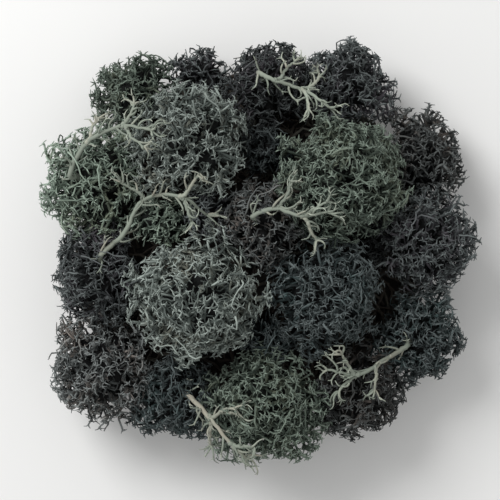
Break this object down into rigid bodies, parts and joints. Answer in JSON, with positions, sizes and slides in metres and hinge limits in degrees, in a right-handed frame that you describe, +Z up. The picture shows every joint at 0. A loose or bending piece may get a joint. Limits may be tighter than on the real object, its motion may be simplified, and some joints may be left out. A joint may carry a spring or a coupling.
{
  "type": "reindeer moss clump",
  "caption": "Domed clump of dyed reindeer moss: packed round heads of finely forked branchlets on a tangle of old stems, with loose pale strands, resting on a small flat spot.",
  "frame": {"origin": "middle of the small flat spot underneath", "axes": "+Z up through the dome, +Y towards the top of the picture, +X to its right"},
  "size_m": [0.1138, 0.1118, 0.0535],
  "materials": {
    "ash": "dull dyed lichen, pale grey",
    "green": "dull dyed lichen, moss green",
    "pale": "dull bare strand, pale grey-green",
    "sage": "dull dyed lichen, grey-green",
    "slate": "dull dyed lichen, dark purple-grey",
    "teal": "dull dyed lichen, dark blue-green",
    "umber": "dull old stems, dark brown-grey"
  },
  "bodies": {
    "root": {"old_stem_tangle": "umber", "head_01": "sage", "head_02": "green", "head_03": "green", "head_04": "sage", "head_05": "teal", "head_06": "green", "head_07": "slate", "head_08": "ash", "head_09": "ash", "head_10": "ash", "head_11": "slate", "head_12": "teal", "head_13": "teal", "head_14": "slate", "head_15": "slate", "head_16": "green", "head_17": "ash", "head_18": "teal", "head_19": "slate", "head_20": "teal", "head_21": "green", "head_22": "slate", "head_23": "slate", "strand_01": "pale", "strand_02": "pale", "strand_03": "pale", "strand_04": "pale", "strand_05": "pale", "strand_06": "pale"}
  },
  "joints": []
}
